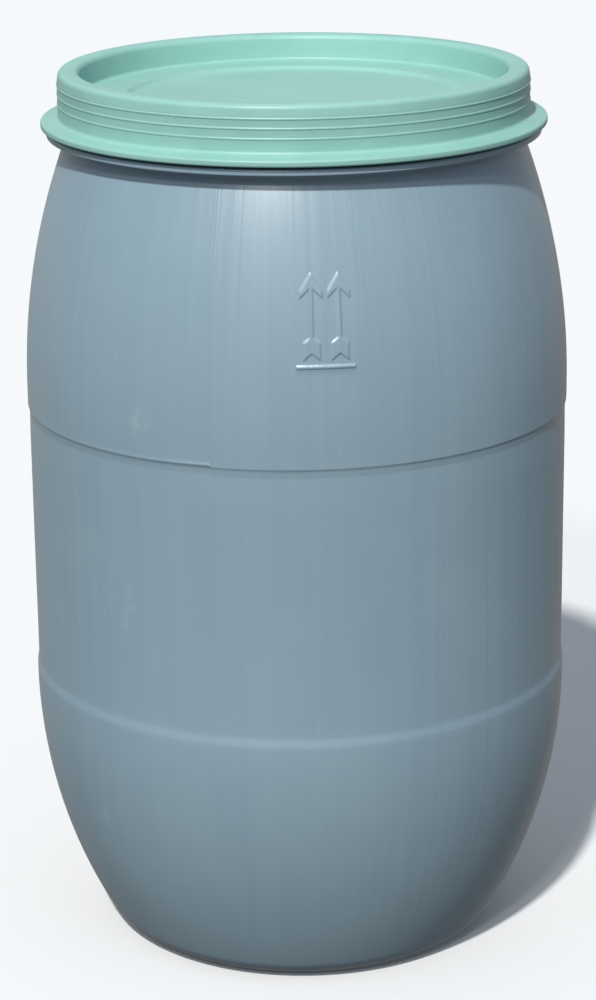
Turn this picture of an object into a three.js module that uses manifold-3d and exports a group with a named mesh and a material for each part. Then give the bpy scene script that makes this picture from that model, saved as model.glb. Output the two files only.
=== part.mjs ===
// A 200 litre plastic open head drum with a screw-on lid: a blow-moulded body with an
// external thread on its neck, an injection-moulded lid that screws over the neck, and
// the ring gasket that the lid presses onto the neck. Millimetres, +Z up. The origin is
// the centre of the standing ring, and the front of the drum faces -Y.
import * as THREE from "three";
import { mergeVertices } from "three/addons/utils/BufferGeometryUtils.js";
import Module from "manifold-3d";

const wasm = await Module();
wasm.setup();

// Facets round the axis. Every round piece uses the same count, so their flats line up.
const SIDES = 48;
// Facets along each round stretch of the outside and of the inside of the body.
const OUTSIDE_STEPS = { foot: 6, barrel: 7, shoulder: 7 };
const INSIDE_STEPS = { foot: 4, barrel: 5, shoulder: 5 };

// The drum's body, from the floor up.
const WALL = 4.5;
const STAND = { inner: 166, edge: 150, rise: 14, crown: 2 }; // standing ring and the raised base in it
const BASE_WALL = 6;
const FOOT_R = 45; // radius of the rounded foot, which runs into the lower barrel
const LOWER = { r: 290, z: 290, bend: 560 }; // largest radius, its height, radius of the curve below it
const LOWER_RING = { z0: 298, z1: 307 }; // the step in above the largest radius
const PANEL_R = 288.3; // the plain middle of the barrel
const UPPER_RING = { z0: 584.5, z1: 592.5 }; // the step out to the upper barrel
const UPPER = { r: 289.6, z: 610, bend: 735 }; // upper barrel and the radius of its shoulder
const COLLAR = { r: 259.5, z0: 878.8, z1: 885.3 }; // a thin ring close under the lid
const NECK = { r: 236, bore: 231.5, top: 936.5, lip: 1.5 };

// The lid.
const LID = { top: 946.2, outer: 245.2, inner: 224 }; // the rim, whose edges are rounded by RIM_EDGE
const RIM_EDGE = { outer: 6, inner: 6.5, steps: 4 };
const SKIRT = { r: 246.8, inner: 243.4, foot: 897.8, fillet: 3.5, taper: 934 }; // leans in above taper
const FLANGE = { r: 265.3, z0: 888, edge: 894.8, round: 2 }; // its top slopes up to the skirt
const BEAD = { z: [932, 922.4, 912.4], height: 0.6, half: 1.2 };
const SHELF = { z: 918.6, outer: 221.5, inner: 177, fillet: 2.5 }; // the floor round the top's recess
const PANEL = { z: 914.4, r: 172.5 }; // the sunk middle of the top
const PLATE = 4; // thickness of the recessed top
const CHANNEL = { inner: 228, top: 941.5, chamfer: 2, corner: 3 }; // groove under the rim for neck and gasket

// Both threads are single-start and right-handed.
const PITCH = 12;
const THREAD = { root: 2.6, crest: 1.5, embed: 1.6 }; // half widths, and depth sunk in the wall
const NECK_THREAD = { crestR: 240.8, z: 897, turns: 1.75 };
const LID_THREAD = { crestR: 238.6, below: 4.1, turns: 1.5 }; // how far it lies under the neck's thread

const GASKET = { inner: 229.2, outer: 239.2, z0: 936.9, z1: 941.1 };

// The raised "this way up" mark: two arrows over a bar, on the front of the shoulder.
const MARK = { raise: 1.2, x: 28.7, spread: 14.2, tip: 785.5, bar: { z0: 693.5, z1: 696.8, half: 28.7 } };
const HEAD = { half: 11.5, drop: 17.5, end: 6.5, inner: 13.5 }; // an open chevron with upright ends
const SHAFT = { half: 1.8 };
const TAIL = { half: 8.5, top: 60, slope: 7, end: 84, notch: 7 };

const material = (name, color, roughness) =>
  new THREE.MeshStandardMaterial({ name, color, roughness, metalness: 0 });
const barrelPlastic = material("barrel_plastic", 0x8aa3ae, 0.45);
const lidPlastic = material("lid_plastic", 0x9ccfc7, 0.4);
const gasketRubber = material("gasket_rubber", 0x2b2d2f, 0.85);

// ---- Solids ------------------------------------------------------------------------

function toSolid(geometry) {
  geometry.deleteAttribute("normal");
  geometry.deleteAttribute("uv");
  const merged = mergeVertices(geometry, 1e-3);
  const vertProperties = merged.attributes.position.array;
  const triVerts = new Uint32Array(merged.index.array);
  return new wasm.Manifold(new wasm.Mesh({ numProp: 3, vertProperties, triVerts }));
}

function toMesh(solid, name, look) {
  const { vertProperties, triVerts } = solid.getMesh();
  const geometry = new THREE.BufferGeometry();
  geometry.setAttribute("position", new THREE.BufferAttribute(vertProperties, 3));
  geometry.setIndex(new THREE.BufferAttribute(triVerts, 1));
  geometry.computeVertexNormals();
  const mesh = new THREE.Mesh(geometry, look);
  mesh.name = name;
  return mesh;
}

// A body of revolution. The outline is a list of [radius, height] points.
function turned(outline) {
  const points = outline.map(([r, z]) => new THREE.Vector2(r, z));
  return toSolid(new THREE.LatheGeometry(points, SIDES).rotateX(Math.PI / 2));
}

// Points on a circle in the radius-height plane, at angles in degrees above the outward
// direction.
function arc(r, z, bend, from, to, steps) {
  return Array.from({ length: steps + 1 }, (_, i) => {
    const a = THREE.MathUtils.degToRad(from + ((to - from) * i) / steps);
    return [r + bend * Math.cos(a), z + bend * Math.sin(a)];
  });
}

// A helical ridge, one facet of the thread to each facet of the wall it stands on.
function helix(rootR, crestR, z, turns) {
  const { root, crest } = THREAD;
  const section = [
    [rootR, -root],
    [crestR, -crest],
    [crestR, crest],
    [rootR, root],
  ];
  const steps = Math.round(turns * SIDES);
  const vertices = [];
  for (let i = 0; i <= steps; i++) {
    const a = (2 * Math.PI * i) / SIDES;
    const lift = z + (PITCH * i) / SIDES;
    for (const [r, h] of section) vertices.push(r * Math.sin(a), -r * Math.cos(a), lift + h);
  }
  const faces = [];
  const n = section.length;
  for (let i = 0; i < steps; i++) {
    for (let k = 0; k < n; k++) {
      const [a, b] = [i * n + k, i * n + ((k + 1) % n)];
      faces.push(a, a + n, b, b, a + n, b + n);
    }
  }
  const end = steps * n;
  faces.push(0, 1, 2, 0, 2, 3, end, end + 2, end + 1, end, end + 3, end + 2);
  if (crestR < rootR) faces.reverse(); // an inward ridge is the mirror of an outward one
  const geometry = new THREE.BufferGeometry();
  geometry.setAttribute("position", new THREE.Float32BufferAttribute(vertices, 3));
  geometry.setIndex(faces);
  return toSolid(geometry);
}

// ---- Drum body ---------------------------------------------------------------------

// The lower barrel and the shoulder are circles through LOWER and UPPER; the rounded foot
// touches the lower one from inside. `inset` draws the same line inside the wall.
function lowerBarrel(inset, steps) {
  const centre = LOWER.r - LOWER.bend;
  const reach = LOWER.bend - FOOT_R;
  const touch = THREE.MathUtils.radToDeg(Math.asin((LOWER.z - FOOT_R) / reach));
  const footCentre = centre + Math.sqrt(reach ** 2 - (LOWER.z - FOOT_R) ** 2);
  return [
    ...arc(footCentre, FOOT_R, FOOT_R - inset, -90, -touch, steps.foot),
    ...arc(centre, LOWER.z, LOWER.bend - inset, -touch, 0, steps.barrel).slice(1),
  ];
}

function shoulder(inset, steps) {
  const end = THREE.MathUtils.radToDeg(Math.asin((COLLAR.z0 - UPPER.z) / (UPPER.bend - inset)));
  return arc(UPPER.r - UPPER.bend, UPPER.z, UPPER.bend - inset, 0, end, steps.shoulder);
}

const bodyOutline = [
  [0, STAND.rise + STAND.crown],
  [STAND.edge, STAND.rise],
  [STAND.inner, 0],
  ...lowerBarrel(0, OUTSIDE_STEPS),
  [LOWER.r, LOWER_RING.z0],
  [PANEL_R, LOWER_RING.z1],
  [PANEL_R, UPPER_RING.z0],
  [UPPER.r, UPPER_RING.z1],
  ...shoulder(0, OUTSIDE_STEPS),
  [COLLAR.r, COLLAR.z0],
  [COLLAR.r, COLLAR.z1],
  [NECK.r, COLLAR.z1],
  [NECK.r, NECK.top - NECK.lip],
  [NECK.r - NECK.lip, NECK.top],
  [0, NECK.top],
];
const cavityOutline = [
  [0, STAND.rise + STAND.crown + BASE_WALL],
  [STAND.edge, STAND.rise + BASE_WALL],
  [STAND.inner, BASE_WALL],
  ...lowerBarrel(BASE_WALL, INSIDE_STEPS),
  [PANEL_R - WALL, LOWER_RING.z1],
  [PANEL_R - WALL, UPPER_RING.z0],
  ...shoulder(WALL, INSIDE_STEPS),
  [NECK.bore, COLLAR.z1 + WALL],
  [NECK.bore, NECK.top + WALL],
  [0, NECK.top + WALL],
];

// A flat outline in the X-Z plane, pushed through the front of the barrel along Y.
function frontPrism(outline) {
  const shape = new THREE.Shape(outline.map(([x, z]) => new THREE.Vector2(x, z)));
  const depth = UPPER.r / 2;
  const prism = new THREE.ExtrudeGeometry(shape, { depth, bevelEnabled: false });
  return toSolid(prism.rotateX(Math.PI / 2).translate(0, -depth, 0));
}

function arrow(x) {
  const at = (points) => frontPrism(points.map(([dx, dz]) => [x + dx, MARK.tip + dz]));
  const head = at([
    [0, 0],
    [-HEAD.half, -HEAD.drop],
    [-HEAD.half, -HEAD.drop - HEAD.end],
    [0, -HEAD.inner],
    [HEAD.half, -HEAD.drop - HEAD.end],
    [HEAD.half, -HEAD.drop],
  ]);
  const tail = at([
    [0, -TAIL.top],
    [-TAIL.half, -TAIL.top - TAIL.slope],
    [-TAIL.half, -TAIL.end],
    [0, -TAIL.end + TAIL.notch],
    [TAIL.half, -TAIL.end],
    [TAIL.half, -TAIL.top - TAIL.slope],
  ]);
  const [high, low] = [-HEAD.inner / 2, -TAIL.top - TAIL.slope];
  const shaft = at([
    [-SHAFT.half, high],
    [-SHAFT.half, low],
    [SHAFT.half, low],
    [SHAFT.half, high],
  ]);
  return head.add(shaft).add(tail);
}

function thisWayUp() {
  const { x, spread, bar, raise } = MARK;
  const flat = frontPrism([
    [x - bar.half, bar.z0],
    [x + bar.half, bar.z0],
    [x + bar.half, bar.z1],
    [x - bar.half, bar.z1],
  ]);
  const skin = turned([[0, UPPER.z], ...shoulder(-raise, OUTSIDE_STEPS), [0, COLLAR.z0]]);
  return arrow(x - spread).add(arrow(x + spread)).add(flat).intersect(skin);
}

const neckThread = helix(NECK.r - THREAD.embed, NECK_THREAD.crestR, NECK_THREAD.z, NECK_THREAD.turns);
const bodySolid = turned(bodyOutline).add(neckThread).add(thisWayUp()).subtract(turned(cavityOutline));

// ---- Lid ---------------------------------------------------------------------------

function bead(z) {
  return [
    [SKIRT.r, z - BEAD.half],
    [SKIRT.r + BEAD.height, z],
    [SKIRT.r, z + BEAD.half],
  ];
}

const flangeSlope = (SKIRT.foot - FLANGE.edge) / (FLANGE.r - SKIRT.r);
const lidOutline = [
  [0, PANEL.z - PLATE],
  [PANEL.r + PLATE / 2, PANEL.z - PLATE],
  [SHELF.inner + PLATE / 2, SHELF.z - PLATE],
  [CHANNEL.inner - CHANNEL.chamfer, SHELF.z - PLATE],
  [CHANNEL.inner, SHELF.z - PLATE + CHANNEL.chamfer],
  [CHANNEL.inner, CHANNEL.top],
  [SKIRT.inner - CHANNEL.corner, CHANNEL.top],
  [SKIRT.inner, CHANNEL.top - CHANNEL.corner],
  [SKIRT.inner, FLANGE.z0],
  [FLANGE.r - FLANGE.round, FLANGE.z0],
  [FLANGE.r, FLANGE.z0 + FLANGE.round],
  [FLANGE.r, FLANGE.edge - FLANGE.round],
  [FLANGE.r - FLANGE.round, FLANGE.edge + flangeSlope * FLANGE.round],
  [SKIRT.r + SKIRT.fillet, SKIRT.foot - flangeSlope * SKIRT.fillet],
  [SKIRT.r, SKIRT.foot + SKIRT.fillet],
  ...BEAD.z.toReversed().flatMap(bead),
  [SKIRT.r, SKIRT.taper],
  ...arc(LID.outer - RIM_EDGE.outer, LID.top - RIM_EDGE.outer, RIM_EDGE.outer, 0, 90, RIM_EDGE.steps),
  ...arc(LID.inner + RIM_EDGE.inner, LID.top - RIM_EDGE.inner, RIM_EDGE.inner, 90, 180, RIM_EDGE.steps),
  [SHELF.outer, SHELF.z + SHELF.fillet],
  [SHELF.outer - SHELF.fillet, SHELF.z],
  [SHELF.inner, SHELF.z],
  [PANEL.r, PANEL.z],
  [0, PANEL.z],
];
const lidThread = helix(
  SKIRT.inner + THREAD.embed,
  LID_THREAD.crestR,
  NECK_THREAD.z - LID_THREAD.below,
  LID_THREAD.turns,
);
const lidSolid = turned(lidOutline).add(lidThread);

// ---- Gasket ------------------------------------------------------------------------

const gasketSolid = turned([
  [GASKET.inner, GASKET.z0],
  [GASKET.outer, GASKET.z0],
  [GASKET.outer, GASKET.z1],
  [GASKET.inner, GASKET.z1],
  [GASKET.inner, GASKET.z0],
]);

// ---- Assembly ----------------------------------------------------------------------

const drum = new THREE.Group();
drum.add(toMesh(bodySolid, "drum_body", barrelPlastic));
const closure = new THREE.Group();
closure.add(toMesh(lidSolid, "lid", lidPlastic), toMesh(gasketSolid, "lid_gasket", gasketRubber));
drum.add(closure);

export default drum;
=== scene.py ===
"""A 200 litre plastic open head drum with its screw lid closed, in a plain studio."""

import math

import bpy
import numpy as np
from mathutils import Matrix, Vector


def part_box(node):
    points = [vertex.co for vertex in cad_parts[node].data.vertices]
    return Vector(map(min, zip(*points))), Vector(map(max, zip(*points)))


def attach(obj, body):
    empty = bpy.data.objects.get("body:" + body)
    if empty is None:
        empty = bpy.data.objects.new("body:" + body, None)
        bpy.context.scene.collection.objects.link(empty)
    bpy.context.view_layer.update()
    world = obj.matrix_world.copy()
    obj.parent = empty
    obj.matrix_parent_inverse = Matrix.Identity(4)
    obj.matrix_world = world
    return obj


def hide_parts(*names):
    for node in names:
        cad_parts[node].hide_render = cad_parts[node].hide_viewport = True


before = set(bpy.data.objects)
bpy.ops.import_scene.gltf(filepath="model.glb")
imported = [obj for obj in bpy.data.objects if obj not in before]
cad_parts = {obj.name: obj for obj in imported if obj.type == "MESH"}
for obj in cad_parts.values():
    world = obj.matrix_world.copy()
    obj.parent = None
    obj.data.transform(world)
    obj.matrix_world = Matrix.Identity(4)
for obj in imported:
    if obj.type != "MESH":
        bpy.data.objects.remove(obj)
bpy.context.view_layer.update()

MM = 0.001

# ---- Sizes, in millimetres, worked from the frame's boxes where they show -------------

BODY_BOX = [[v / MM for v in corner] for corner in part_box("drum_body")]
LID_BOX = [[v / MM for v in corner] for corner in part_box("lid")]
GASKET_BOX = [[v / MM for v in corner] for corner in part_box("lid_gasket")]

BELLY_R = BODY_BOX[1][0]
NECK_TOP = BODY_BOX[1][2]
FLANGE_R = LID_BOX[1][0]
LID_FOOT = LID_BOX[0][2]
LID_TOP = LID_BOX[1][2]

WALL = 4.5
BASE_WALL = 6.0
STAND_INNER, STAND_EDGE, STAND_RISE, STAND_CROWN = 166.0, 150.0, 14.0, 2.0
FOOT_R = 45.0
LOWER_Z, LOWER_BEND = 290.0, 560.0
PANEL_R = 288.3
LOWER_RING = (298.0, 307.0)
UPPER_RING = (584.5, 592.5)
UPPER_R, UPPER_Z, UPPER_BEND = 289.6, 610.0, 735.0
COLLAR_R, COLLAR = 259.5, (878.8, 885.3)
NECK_R, NECK_BORE = 236.0, 231.5

SKIRT_R, SKIRT_INNER, SKIRT_TAPER = 246.8, 243.4, 934.0
FLANGE_EDGE, FLANGE_TOP = 894.8, 897.8
RIM_OUTER, RIM_INNER = 245.2, 224.0
RIM_ROUND_OUT, RIM_ROUND_IN = 6.0, 6.5
SHELF_Z, SHELF_OUTER, SHELF_INNER = 918.6, 221.5, 177.0
TOP_PANEL_Z, TOP_PANEL_R = 914.4, 172.5
PLATE = 4.0
PLUG_R, CHANNEL_TOP, CHANNEL_CORNER = 228.0, 941.5, 3.0
BEAD_Z, BEAD_HEIGHT, BEAD_HALF = (932.0, 922.4, 912.4), 0.6, 1.5

GASKET_INNER, GASKET_OUTER = 229.2, GASKET_BOX[1][0]
GASKET_LOW, GASKET_HIGH = GASKET_BOX[0][2], GASKET_BOX[1][2]
GASKET_EDGE = 1.4

PITCH = 12.0
THREAD_ROOT, THREAD_CREST, THREAD_EMBED = 2.6, 1.5, 1.6
NECK_CREST_R, NECK_THREAD_Z, NECK_TURNS = 240.8, 897.0, 1.75
LID_CREST_R, LID_THREAD_BELOW, LID_TURNS = 238.6, 4.1, 1.5

# The mould's two halves meet on one line in front, left of the middle, and one behind.
PARTING = math.radians(-17.4)
PARTING_RAISE, PARTING_HALF = 0.28, 0.7

# Left of the front line the upper ring sits this much higher, and stands out this much more.
# Both fade out over the angle.
RING_LIFT, RING_LIP, RING_FADE = 2.6, 0.9, math.radians(22)

# The raised mark: two arrows over a bar, laid round the shoulder at this radius.
MARK_R = 284.0
MARK_RAISE, MARK_EDGE = 1.25, 0.9
ARROW_AZ = (math.radians(3.0), math.radians(8.65))
ARROW_TIP = 785.5
BAR_AZ = (math.radians(-0.1), math.radians(11.65))
BAR_Z = (693.5, 696.8)


# ---- Outlines ---------------------------------------------------------------------------


def arc(r, z, bend, start, end, steps):
    """Points on a circle in the radius-height plane, angles in degrees above outward."""
    angles = np.radians(np.linspace(start, end, steps + 1))
    return [(r + bend * math.cos(a), z + bend * math.sin(a), 0) for a in angles]


def rounded(corners, turn=9.0):
    """A line of (radius, height) through corners (radius, height, fillet radius)."""
    points = [np.array(corners[0][:2])]
    for before, here, after in zip(corners, corners[1:], corners[2:]):
        corner = np.array(here[:2])
        if here[2] <= 0:
            points.append(corner)
            continue
        a = np.array(before[:2]) - corner
        b = np.array(after[:2]) - corner
        length_a, length_b = np.linalg.norm(a), np.linalg.norm(b)
        a, b = a / length_a, b / length_b
        half = math.acos(float(np.clip(a @ b, -1, 1))) / 2
        reach = min(here[2] / math.tan(half), 0.49 * length_a, 0.49 * length_b)
        radius = reach * math.tan(half)
        centre = corner + (a + b) / np.linalg.norm(a + b) * radius / math.sin(half)
        start, end = corner + a * reach - centre, corner + b * reach - centre
        sweep = math.pi - 2 * half
        steps = max(2, math.ceil(math.degrees(sweep) / turn))
        sign = math.copysign(1, start[0] * end[1] - start[1] * end[0])
        for k in range(steps + 1):
            t = sign * sweep * k / steps
            turned = (
                start[0] * math.cos(t) - start[1] * math.sin(t),
                start[0] * math.sin(t) + start[1] * math.cos(t),
            )
            points.append(centre + turned)
    points.append(np.array(corners[-1][:2]))
    return np.array(points)


def densified(points, step):
    """The same line with no stretch longer than step(middle of the stretch)."""
    out = [points[0]]
    for a, b in zip(points, points[1:]):
        length = float(np.linalg.norm(b - a))
        if length < 1e-6:
            continue
        pieces = max(1, math.ceil(length / step((a + b) / 2)))
        out += [a + (b - a) * k / pieces for k in range(1, pieces + 1)]
    return np.array(out)


def lower_barrel(inset, foot_steps, barrel_steps):
    centre = BELLY_R - LOWER_BEND
    reach = LOWER_BEND - FOOT_R
    touch = math.degrees(math.asin((LOWER_Z - FOOT_R) / reach))
    foot_centre = centre + math.sqrt(reach**2 - (LOWER_Z - FOOT_R) ** 2)
    foot = arc(foot_centre, FOOT_R, FOOT_R - inset, -90, -touch, foot_steps)
    barrel = arc(centre, LOWER_Z, LOWER_BEND - inset, -touch, 0, barrel_steps)
    return foot + barrel[1:]


def shoulder(inset, steps):
    end = math.degrees(math.asin((COLLAR[0] - UPPER_Z) / (UPPER_BEND - inset)))
    return arc(UPPER_R - UPPER_BEND, UPPER_Z, UPPER_BEND - inset, 0, end, steps)


def body_outline():
    outside = [
        (0, STAND_RISE + STAND_CROWN, 0),
        (STAND_EDGE, STAND_RISE, 7),
        (STAND_INNER, 0, 5),
        *lower_barrel(0, 16, 40),
        (BELLY_R, LOWER_RING[0], 24),
        (PANEL_R, LOWER_RING[1], 24),
        (PANEL_R, UPPER_RING[0] - 28, 8),
        (PANEL_R - 0.4, UPPER_RING[0] - 1.5, 12),
        (PANEL_R + 0.3, UPPER_RING[1] - 2.6, 5),
        (UPPER_R, UPPER_RING[1], 1.4),
        *shoulder(0, 40),
        (COLLAR_R, COLLAR[0], 1.2),
        (COLLAR_R, COLLAR[1], 2.4),
        (NECK_R, COLLAR[1] + 0.5, 2),
        (NECK_R, NECK_TOP, 1.8),
        (NECK_BORE, NECK_TOP, 1.8),
    ]
    inside = [
        (0, STAND_RISE + STAND_CROWN + BASE_WALL, 0),
        (STAND_EDGE, STAND_RISE + BASE_WALL, 10),
        (STAND_INNER, BASE_WALL, 8),
        *lower_barrel(BASE_WALL, 10, 20),
        (PANEL_R - WALL, LOWER_RING[1], 10),
        (PANEL_R - WALL, UPPER_RING[0], 10),
        *shoulder(WALL, 20),
        (NECK_BORE, COLLAR[1] + WALL, 8),
    ]
    line = rounded(outside + inside[::-1])
    mark_low, mark_high = BAR_Z[0] - 4, ARROW_TIP + 4

    def step(middle):
        r, z = middle
        if r > 255 and mark_low < z < mark_high:
            return 0.8
        if r > UPPER_R - 6 and UPPER_RING[0] - 34 < z < UPPER_RING[1] + 12:
            return 1.2
        return 9.0

    return densified(line, step)


def lid_outline():
    beads = []
    for z in BEAD_Z[::-1]:
        beads += [
            (SKIRT_R, z - BEAD_HALF, 0.8),
            (SKIRT_R + BEAD_HEIGHT, z - 0.4, 0.7),
            (SKIRT_R + BEAD_HEIGHT, z + 0.4, 0.7),
            (SKIRT_R, z + BEAD_HALF, 0.8),
        ]
    corners = [
        (0, TOP_PANEL_Z - PLATE, 0),
        (TOP_PANEL_R + PLATE / 2, TOP_PANEL_Z - PLATE, 2),
        (SHELF_INNER + PLATE / 2, SHELF_Z - PLATE, 2),
        (PLUG_R, SHELF_Z - PLATE, 2.5),
        (PLUG_R, CHANNEL_TOP, 1.2),
        (SKIRT_INNER - CHANNEL_CORNER, CHANNEL_TOP, 1.2),
        (SKIRT_INNER, CHANNEL_TOP - CHANNEL_CORNER, 1.2),
        (SKIRT_INNER, LID_FOOT, 1),
        (FLANGE_R, LID_FOOT, 2.2),
        (FLANGE_R, FLANGE_EDGE, 2.6),
        (SKIRT_R, FLANGE_TOP, 3.6),
        *beads,
        (SKIRT_R, SKIRT_TAPER + 0.5, 8),
        (RIM_OUTER, LID_TOP, RIM_ROUND_OUT),
        (RIM_INNER, LID_TOP, RIM_ROUND_IN),
        (SHELF_OUTER, SHELF_Z, 3),
        (SHELF_INNER, SHELF_Z, 3),
        (TOP_PANEL_R, TOP_PANEL_Z, 5),
        (0, TOP_PANEL_Z, 0),
    ]
    return densified(rounded(corners), lambda middle: 12.0)


# ---- Mesh building --------------------------------------------------------------------------


def make_object(name, vertices, faces, material):
    mesh = bpy.data.meshes.new(name)
    mesh.from_pydata(vertices, [], faces)
    mesh.validate()
    mesh.update()
    mesh.shade_smooth()
    piece = bpy.data.objects.new(name, mesh)
    bpy.context.scene.collection.objects.link(piece)
    mesh.materials.append(material)
    return piece


def revolved(name, outline, angles, material, shape=None, closed=False):
    """Turns an outline round the axis. Angles run from the front (-Y) towards +X.
    shape(radius, height, angle) may move each point. An open outline starts and ends on
    the axis."""
    rows = outline if closed else outline[1:-1]
    r, z, a = (
        np.repeat(rows[:, 0:1], len(angles), 1),
        np.repeat(rows[:, 1:2], len(angles), 1),
        np.repeat(angles[None, :], len(rows), 0),
    )
    if shape:
        r, z = shape(r, z, a)
    grid = np.stack([r * np.sin(a), -r * np.cos(a), z], -1).reshape(-1, 3)
    count, columns = len(rows), len(angles)
    index = np.arange(count * columns).reshape(count, columns)
    upper = np.roll(index, -1, 0) if closed else index[1:]
    lower = index if closed else index[:-1]
    quads = np.stack([lower, np.roll(lower, -1, 1), np.roll(upper, -1, 1), upper], -1)
    faces = quads.reshape(-1, 4).tolist()
    vertices = (grid * MM).tolist()
    if not closed:
        first, last = len(vertices), len(vertices) + 1
        vertices += [(0, 0, outline[0][1] * MM), (0, 0, outline[-1][1] * MM)]
        for k in range(columns):
            n = (k + 1) % columns
            faces.append([first, int(index[0, n]), int(index[0, k])])
            faces.append([last, int(index[-1, k]), int(index[-1, n])])
    return make_object(name, vertices, faces, material)


def thread(name, root_r, crest_r, start_z, turns, material):
    """A helical ridge whose ends run out smoothly into the wall."""
    steps_per_turn = 180
    run_out = 14
    section = rounded(
        [
            (0, -THREAD_ROOT, 0),
            (1, -THREAD_CREST, 0.12),
            (1, THREAD_CREST, 0.12),
            (0, THREAD_ROOT, 0),
        ],
        30,
    )
    steps = round(turns * steps_per_turn)
    vertices, faces = [], []
    for i in range(steps + 1):
        a = 2 * math.pi * i / steps_per_turn
        fade = math.sin(math.pi / 2 * min(1, i / run_out, (steps - i) / run_out))
        height = max(fade, 0.02)
        for depth, width in section:
            r = root_r + (crest_r - root_r) * depth * height
            z = start_z + PITCH * i / steps_per_turn + width * (0.4 + 0.6 * height)
            vertices.append((r * math.sin(a) * MM, -r * math.cos(a) * MM, z * MM))
    n = len(section)
    for i in range(steps):
        for k in range(n):
            a, b = i * n + k, i * n + (k + 1) % n
            faces.append([a, a + n, b + n, b])
    faces.append(list(range(n)))
    faces.append([steps * n + k for k in range(n)][::-1])
    if crest_r < root_r:
        faces = [face[::-1] for face in faces]
    return make_object(name, vertices, faces, material)


def joined(piece, ridge):
    """Unites a ridge with the piece that it stands on, and removes the ridge."""
    union = piece.modifiers.new("union", "BOOLEAN")
    union.operation = "UNION"
    union.solver = "EXACT"
    union.object = ridge
    bpy.context.view_layer.objects.active = piece
    bpy.ops.object.modifier_apply(modifier=union.name)
    bpy.data.objects.remove(ridge, do_unlink=True)
    piece.data.shade_smooth()
    return piece


# ---- Shapes of the moulded surface --------------------------------------------------------


def smooth(x):
    x = np.clip(x, 0, 1)
    return x * x * (3 - 2 * x)


def inside_polygon(u, v, corners):
    """Signed distance to a polygon, positive inside."""
    nearest = np.full(u.shape, 1e9)
    inside = np.zeros(u.shape, bool)
    for (ax, ay), (bx, by) in zip(corners, corners[1:] + corners[:1]):
        ex, ey = bx - ax, by - ay
        t = np.clip(((u - ax) * ex + (v - ay) * ey) / (ex * ex + ey * ey), 0, 1)
        nearest = np.minimum(nearest, np.hypot(u - ax - t * ex, v - ay - t * ey))
        crosses = (ay > v) != (by > v)
        with np.errstate(divide="ignore", invalid="ignore"):
            at = ax + (v - ay) * ex / np.where(ey == 0, 1e-9, ey)
        inside ^= crosses & (u < at)
    return np.where(inside, nearest, -nearest)


ARROW_HEAD = [(0, 0), (-11.5, -17.5), (-11.5, -24), (0, -13.5), (11.5, -24), (11.5, -17.5)]
ARROW_SHAFT = [(-1.8, -10), (-1.8, -74), (1.8, -74), (1.8, -10)]
ARROW_TAIL = [(0, -60), (-8.5, -67), (-8.5, -84), (0, -77), (8.5, -84), (8.5, -67)]


def mark_height(azimuth, z):
    u = azimuth * MARK_R
    v = z - ARROW_TIP
    depth = np.full(u.shape, -1e9)
    for arrow_azimuth in ARROW_AZ:
        du = u - arrow_azimuth * MARK_R
        for polygon in (ARROW_HEAD, ARROW_SHAFT, ARROW_TAIL):
            depth = np.maximum(depth, inside_polygon(du, v, polygon))
    left, right = BAR_AZ[0] * MARK_R, BAR_AZ[1] * MARK_R
    low, high = BAR_Z[0] - ARROW_TIP, BAR_Z[1] - ARROW_TIP
    bar = [(left, low), (right, low), (right, high), (left, high)]
    depth = np.maximum(depth, inside_polygon(u, v, bar))
    return MARK_RAISE * smooth(0.5 + depth / (2 * MARK_EDGE))


def wrapped(angle):
    return (angle + math.pi) % (2 * math.pi) - math.pi


def blown_surface(r, z, a):
    """What blow moulding leaves on the barrel: a wavy wall, the parting line, a step in the
    upper ring where the mould's halves meet, and the raised mark."""
    azimuth = wrapped(a)
    wall = smooth((r - 200) / 40) * smooth((COLLAR[0] - 6 - z) / 30)
    outside = wall * (r > outside_limit(z))

    waves = (
        0.16 * np.sin(3 * a + z / 61 + 0.4)
        + 0.12 * np.sin(5 * a - z / 97 + 1.9)
        + 0.08 * np.sin(9 * a + z / 43 + 4.1)
        + 0.07 * np.sin(14 * a - z / 150 + 2.2)
    )
    r = r + wall * smooth((BELLY_R + 0.2 - r) / 3) * waves * 0.8

    from_front = wrapped(a - PARTING)
    from_back = wrapped(a - PARTING - math.pi)
    for away in (from_front, from_back):
        ridge = np.exp(-((away * BELLY_R / PARTING_HALF) ** 2))
        r = r + outside * PARTING_RAISE * ridge

    left_half = smooth(0.5 - from_front * BELLY_R / 3) * smooth((from_front + 1.9) / 0.5)
    near_line = np.exp(-np.abs(from_front) / RING_FADE) * left_half
    ring_band = np.exp(-(((z - UPPER_RING[1]) / 14) ** 2))
    z = z + outside * ring_band * near_line * RING_LIFT
    edge = UPPER_RING[1] - 1 + RING_LIFT * near_line
    r = r + outside * near_line * RING_LIP * np.exp(-(((z - edge) / 2.2) ** 2))

    near_mark = (np.abs(azimuth - 0.1) < 0.2) & (z > BAR_Z[0] - 3) & (z < ARROW_TIP + 3)
    relief = np.zeros_like(r)
    relief[near_mark] = mark_height(azimuth[near_mark], z[near_mark])
    return r + outside * relief, z


def outside_limit(z):
    """A radius between the wall's inner and outer faces at each height."""

    def middle_of_wall(radius, bend, climb):
        return radius - bend + np.sqrt((bend - WALL / 2) ** 2 - climb**2)

    low = middle_of_wall(BELLY_R, LOWER_BEND, np.minimum(z, LOWER_Z) - LOWER_Z)
    high = middle_of_wall(UPPER_R, UPPER_BEND, np.maximum(z, UPPER_Z) - UPPER_Z)
    return np.where(z < LOWER_Z, low, np.where(z > UPPER_Z, high, PANEL_R - WALL / 2))


def spaced(start, end, step):
    count = max(1, math.ceil((end - start) / step))
    return np.linspace(start, end, count, endpoint=False)


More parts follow.
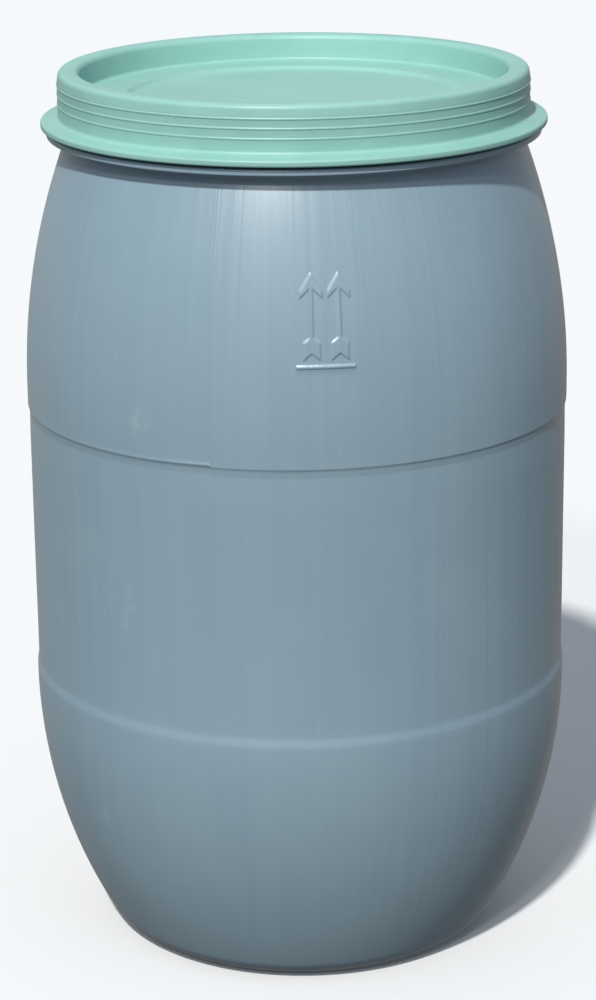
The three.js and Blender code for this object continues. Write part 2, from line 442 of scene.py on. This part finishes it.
def body_angles():
    """Columns close together over the mark and the parting lines, wider elsewhere."""
    fine = math.radians(0.16)
    wide = math.radians(2.0)
    line = math.radians(0.06)
    near = math.radians(0.5)
    back = PARTING + math.pi
    stops = [
        (PARTING - near, PARTING + near, line),
        (PARTING + near, BAR_AZ[0] - 0.02, wide),
        (BAR_AZ[0] - 0.02, BAR_AZ[1] + 0.02, fine),
        (BAR_AZ[1] + 0.02, back - near, wide),
        (back - near, back + near, line),
        (back + near, PARTING - near + 2 * math.pi, wide),
    ]
    return np.concatenate([spaced(*stop) for stop in stops])


# ---- Materials --------------------------------------------------------------------------------


def srgb(r, g, b):
    def linear(c):
        c /= 255
        return c / 12.92 if c <= 0.04045 else ((c + 0.055) / 1.055) ** 2.4

    return (linear(r), linear(g), linear(b), 1)


class Nodes:
    """A short way to write a material's node tree."""

    def __init__(self, name):
        self.material = bpy.data.materials.new(name)
        self.material.use_nodes = True
        self.tree = self.material.node_tree
        self.tree.nodes.clear()
        self.shader = self.tree.nodes.new("ShaderNodeBsdfPrincipled")
        output = self.tree.nodes.new("ShaderNodeOutputMaterial")
        self.link(self.shader.outputs["BSDF"], output.inputs["Surface"])

    def link(self, source, target):
        self.tree.links.new(source, target)

    def feed(self, socket, value):
        if isinstance(value, bpy.types.NodeSocket):
            self.link(value, socket)
        else:
            socket.default_value = value

    def place(self):
        return self.tree.nodes.new("ShaderNodeTexCoord").outputs["Object"]

    def math(self, operation, a, b=0.0):
        node = self.tree.nodes.new("ShaderNodeMath")
        node.operation = operation
        self.feed(node.inputs[0], a)
        self.feed(node.inputs[1], b)
        return node.outputs[0]

    def split(self, vector):
        node = self.tree.nodes.new("ShaderNodeSeparateXYZ")
        self.link(vector, node.inputs[0])
        return node.outputs

    def combine(self, x, y, z):
        node = self.tree.nodes.new("ShaderNodeCombineXYZ")
        for socket, value in zip(node.inputs, (x, y, z)):
            self.feed(socket, value)
        return node.outputs[0]

    def noise(self, vector, scale, detail=2.0, rough=0.5):
        node = self.tree.nodes.new("ShaderNodeTexNoise")
        self.feed(node.inputs["Vector"], vector)
        node.inputs["Scale"].default_value = scale
        node.inputs["Detail"].default_value = detail
        node.inputs["Roughness"].default_value = rough
        return node.outputs["Fac"]

    def ranged(self, value, low, high, to_low=0.0, to_high=1.0):
        node = self.tree.nodes.new("ShaderNodeMapRange")
        node.interpolation_type = "SMOOTHSTEP"
        self.feed(node.inputs["Value"], value)
        limits = {"From Min": low, "From Max": high, "To Min": to_low, "To Max": to_high}
        for name, number in limits.items():
            node.inputs[name].default_value = number
        return node.outputs["Result"]

    def mix(self, factor, a, b):
        node = self.tree.nodes.new("ShaderNodeMix")
        node.data_type = "RGBA"
        self.feed(node.inputs["Factor"], factor)
        self.feed(node.inputs["A"], a)
        self.feed(node.inputs["B"], b)
        return node.outputs["Result"]

    def bump(self, height, distance, normal=None):
        node = self.tree.nodes.new("ShaderNodeBump")
        node.inputs["Strength"].default_value = 1.0
        node.inputs["Distance"].default_value = distance
        self.link(height, node.inputs["Height"])
        if normal:
            self.link(normal, node.inputs["Normal"])
        return node.outputs["Normal"]

    def around(self, ring_scale, height_scale):
        """A coordinate that runs round the axis and along it, with no seam: streaks along
        the wall when ring_scale is the larger, rings round it when height_scale is."""
        x, y, z = self.split(self.place())
        squares = self.math("ADD", self.math("MULTIPLY", x, x), self.math("MULTIPLY", y, y))
        length = self.math("MAXIMUM", self.math("SQRT", squares), 0.001)
        return self.combine(
            self.math("MULTIPLY", self.math("DIVIDE", x, length), ring_scale),
            self.math("MULTIPLY", self.math("DIVIDE", y, length), ring_scale),
            self.math("MULTIPLY", z, height_scale),
        )


def spot(nodes, centre, radius, squash):
    """1 at a place on the surface, falling to 0 at the radius; squash below 1 makes it tall."""
    x, y, z = nodes.split(nodes.place())
    dx = nodes.math("SUBTRACT", x, centre[0])
    dy = nodes.math("SUBTRACT", y, centre[1])
    dz = nodes.math("MULTIPLY", nodes.math("SUBTRACT", z, centre[2]), squash)
    total = nodes.math("ADD", nodes.math("MULTIPLY", dx, dx), nodes.math("MULTIPLY", dy, dy))
    total = nodes.math("ADD", total, nodes.math("MULTIPLY", dz, dz))
    return nodes.ranged(nodes.math("SQRT", total), radius, 0.0)


def barrel_material():
    nodes = Nodes("barrel_plastic")
    place = nodes.place()
    streaks = nodes.noise(nodes.around(26.0, 0.9), 1.0, 3.0, 0.6)
    lines = nodes.noise(nodes.around(90.0, 1.6), 1.0, 2.0, 0.5)
    mottle = nodes.noise(place, 5.5, 4.0, 0.55)
    grain = nodes.noise(place, 620.0, 2.0, 0.6)

    base = nodes.mix(nodes.ranged(mottle, 0.3, 0.7), srgb(135, 160, 173), srgb(140, 165, 177))
    base = nodes.mix(nodes.ranged(streaks, 0.35, 0.7, 0, 0.15), base, srgb(147, 172, 183))
    base = nodes.mix(nodes.ranged(lines, 0.5, 0.75, 0, 0.12), base, srgb(129, 154, 168))

    scuffs = nodes.ranged(nodes.noise(nodes.around(14.0, 9.0), 1.0, 6.0, 0.75), 0.6, 0.74, 0, 0.06)
    marks = None
    for centre, radius, squash in SCUFFS:
        one = spot(nodes, centre, radius, squash)
        marks = one if marks is None else nodes.math("MAXIMUM", marks, one)
    broken = nodes.ranged(nodes.noise(place, 70.0, 5.0, 0.7), 0.38, 0.62, 0, 0.22)
    worn = nodes.math("MAXIMUM", scuffs, nodes.math("MULTIPLY", marks, broken))
    base = nodes.mix(worn, base, srgb(190, 206, 204))

    shader = nodes.shader
    nodes.link(base, shader.inputs["Base Color"])
    rough = nodes.ranged(streaks, 0.25, 0.75, 0.34, 0.4)
    rough = nodes.math("ADD", rough, nodes.math("MULTIPLY", worn, 0.25))
    nodes.link(rough, shader.inputs["Roughness"])
    shader.inputs["IOR"].default_value = 1.6
    shader.inputs["Specular IOR Level"].default_value = 1.0
    shader.inputs["Subsurface Weight"].default_value = 0.06
    shader.inputs["Subsurface Radius"].default_value = (0.004, 0.005, 0.006)
    shader.inputs["Subsurface Scale"].default_value = 1.0
    normal = nodes.bump(streaks, 0.0004)
    normal = nodes.bump(lines, 0.00012, normal=normal)
    normal = nodes.bump(grain, 0.00003, normal=normal)
    nodes.link(normal, shader.inputs["Normal"])
    return nodes.material


def lid_material():
    nodes = Nodes("lid_plastic")
    place = nodes.place()
    mottle = nodes.noise(place, 9.0, 3.0, 0.55)
    flow = nodes.noise(nodes.around(5.0, 60.0), 1.0, 3.0, 0.6)
    grain = nodes.noise(place, 700.0, 2.0, 0.6)
    dust = nodes.ranged(nodes.noise(place, 46.0, 6.0, 0.75), 0.56, 0.72, 0, 0.3)

    base = nodes.mix(nodes.ranged(mottle, 0.3, 0.7), srgb(139, 188, 179), srgb(145, 194, 185))
    base = nodes.mix(nodes.ranged(flow, 0.4, 0.7, 0, 0.3), base, srgb(151, 199, 190))
    base = nodes.mix(dust, base, srgb(176, 204, 198))

    shader = nodes.shader
    nodes.link(base, shader.inputs["Base Color"])
    rough = nodes.ranged(mottle, 0.3, 0.7, 0.42, 0.5)
    rough = nodes.math("ADD", rough, nodes.math("MULTIPLY", dust, 0.2))
    nodes.link(rough, shader.inputs["Roughness"])
    shader.inputs["IOR"].default_value = 1.5
    shader.inputs["Specular IOR Level"].default_value = 0.5
    shader.inputs["Subsurface Weight"].default_value = 0.04
    shader.inputs["Subsurface Radius"].default_value = (0.003, 0.005, 0.005)
    shader.inputs["Subsurface Scale"].default_value = 1.0
    normal = nodes.bump(mottle, 0.0006)
    normal = nodes.bump(flow, 0.00008, normal=normal)
    normal = nodes.bump(grain, 0.00003, normal=normal)
    nodes.link(normal, shader.inputs["Normal"])
    return nodes.material


def gasket_material():
    nodes = Nodes("gasket_rubber")
    place = nodes.place()
    grain = nodes.noise(place, 400.0, 4.0, 0.7)
    bloom = nodes.noise(place, 30.0, 4.0, 0.6)
    base = nodes.mix(nodes.ranged(bloom, 0.4, 0.7), srgb(38, 40, 42), srgb(62, 64, 66))
    nodes.link(base, nodes.shader.inputs["Base Color"])
    nodes.link(nodes.ranged(bloom, 0.3, 0.7, 0.7, 0.9), nodes.shader.inputs["Roughness"])
    nodes.link(nodes.bump(grain, 0.0001), nodes.shader.inputs["Normal"])
    return nodes.material


def on_wall(azimuth, height, radius):
    a = math.radians(azimuth)
    return (radius * math.sin(a), -radius * math.cos(a), height)


SCUFFS = [
    (on_wall(-33, 0.632, 0.289), 0.022, 0.8),
    (on_wall(-48, 0.182, 0.280), 0.012, 0.7),
    (on_wall(-36.5, 0.440, 0.288), 0.011, 0.5),
    (on_wall(-38.5, 0.418, 0.288), 0.010, 0.5),
]


# ---- The object ---------------------------------------------------------------------------------

barrel_plastic = barrel_material()
lid_plastic = lid_material()
gasket_rubber = gasket_material()

barrel = revolved("barrel", body_outline(), body_angles(), barrel_plastic, blown_surface)
neck_thread = thread(
    "neck_thread", NECK_R - THREAD_EMBED, NECK_CREST_R, NECK_THREAD_Z, NECK_TURNS, barrel_plastic
)
joined(barrel, neck_thread)
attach(barrel, "drum")
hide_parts("drum_body")

even_angles = np.linspace(0, 2 * math.pi, 288, endpoint=False)
screw_lid = revolved("screw_lid", lid_outline(), even_angles, lid_plastic)
lid_thread = thread(
    "lid_thread",
    SKIRT_INNER + THREAD_EMBED,
    LID_CREST_R,
    NECK_THREAD_Z - LID_THREAD_BELOW,
    LID_TURNS,
    lid_plastic,
)
joined(screw_lid, lid_thread)
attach(screw_lid, "lid")
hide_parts("lid")

gasket_line = rounded(
    [
        ((GASKET_INNER + GASKET_OUTER) / 2, GASKET_LOW, 0),
        (GASKET_OUTER, GASKET_LOW, GASKET_EDGE),
        (GASKET_OUTER, GASKET_HIGH, GASKET_EDGE),
        (GASKET_INNER, GASKET_HIGH, GASKET_EDGE),
        (GASKET_INNER, GASKET_LOW, GASKET_EDGE),
        ((GASKET_INNER + GASKET_OUTER) / 2, GASKET_LOW, 0),
    ]
)
ring_gasket = revolved("ring_gasket", gasket_line[:-1], even_angles, gasket_rubber, closed=True)
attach(ring_gasket, "gasket")
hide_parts("lid_gasket")


# ---- Studio -------------------------------------------------------------------------------------


def floor():
    reach = 30
    corners = [(-reach, -reach, 0), (reach, -reach, 0), (reach, reach, 0), (-reach, reach, 0)]
    mesh = bpy.data.meshes.new("studio_floor")
    mesh.from_pydata(corners, [], [(0, 1, 2, 3)])
    plane = bpy.data.objects.new("studio_floor", mesh)
    bpy.context.scene.collection.objects.link(plane)
    nodes = Nodes("floor_pale")
    nodes.shader.inputs["Base Color"].default_value = (0.8, 0.8, 0.8, 1)
    nodes.shader.inputs["Roughness"].default_value = 0.9
    mesh.materials.append(nodes.material)
    plane.visible_diffuse = False
    plane.visible_glossy = False


def far_light(name, azimuth, elevation, energy, spread, color):
    """A far light, azimuth in degrees from the front towards +X, spread its width in degrees."""
    data = bpy.data.lights.new(name, "SUN")
    data.angle = math.radians(spread)
    data.energy = energy
    data.color = color
    lamp = bpy.data.objects.new(name, data)
    lamp.rotation_euler = (math.radians(90 - elevation), 0, math.radians(azimuth))
    bpy.context.scene.collection.objects.link(lamp)


def surroundings():
    """A soft room: cool above, neutral and dimmer below, and a pale screen behind."""
    world = bpy.data.worlds.new("studio")
    world.use_nodes = True
    nodes = world.node_tree.nodes
    links = world.node_tree.links

    def ramp(source, low, high):
        node = nodes.new("ShaderNodeMapRange")
        node.interpolation_type = "SMOOTHSTEP"
        node.inputs["From Min"].default_value = low
        node.inputs["From Max"].default_value = high
        links.new(source, node.inputs["Value"])
        return node.outputs["Result"]

    def mix(factor, a, b):
        node = nodes.new("ShaderNodeMix")
        node.data_type = "RGBA"
        links.new(factor, node.inputs["Factor"])
        for socket, color in ((node.inputs["A"], a), (node.inputs["B"], b)):
            if isinstance(color, bpy.types.NodeSocket):
                links.new(color, socket)
            else:
                socket.default_value = color
        return node.outputs["Result"]

    place = nodes.new("ShaderNodeTexCoord")
    split = nodes.new("ShaderNodeSeparateXYZ")
    links.new(place.outputs["Generated"], split.inputs[0])
    above = ramp(split.outputs["Z"], -0.5, 0.5)
    behind = ramp(split.outputs["Y"], 0.45, 0.95)
    room = mix(above, (0.13, 0.13, 0.13, 1), (0.285, 0.33, 0.39, 1))
    screen = mix(above, (0.46, 0.43, 0.39, 1), (0.56, 0.57, 0.57, 1))
    links.new(mix(behind, room, screen), nodes["Background"].inputs["Color"])
    bpy.context.scene.world = world


def camera():
    data = bpy.data.cameras.new("camera")
    data.lens = 101.08
    data.sensor_width = 36
    data.shift_y = -0.0356
    data.clip_end = 100
    holder = bpy.data.objects.new("camera", data)
    holder.location = (0, -2.925, 1.3969)
    looking_down, roll = 16.854, -0.676
    tilted = Matrix.Rotation(math.radians(90 - looking_down), 3, "X")
    holder.rotation_euler = (tilted @ Matrix.Rotation(math.radians(roll), 3, "Z")).to_euler()
    bpy.context.scene.collection.objects.link(holder)
    bpy.context.scene.camera = holder


floor()
far_light("key", azimuth=-16, elevation=49.8, energy=3.2, spread=2.8, color=(1.0, 0.985, 0.96))
far_light("fill", azimuth=-15.5, elevation=38, energy=0.45, spread=5, color=(1.0, 0.99, 0.97))
surroundings()
bpy.context.scene.view_settings.view_transform = "Standard"
camera()
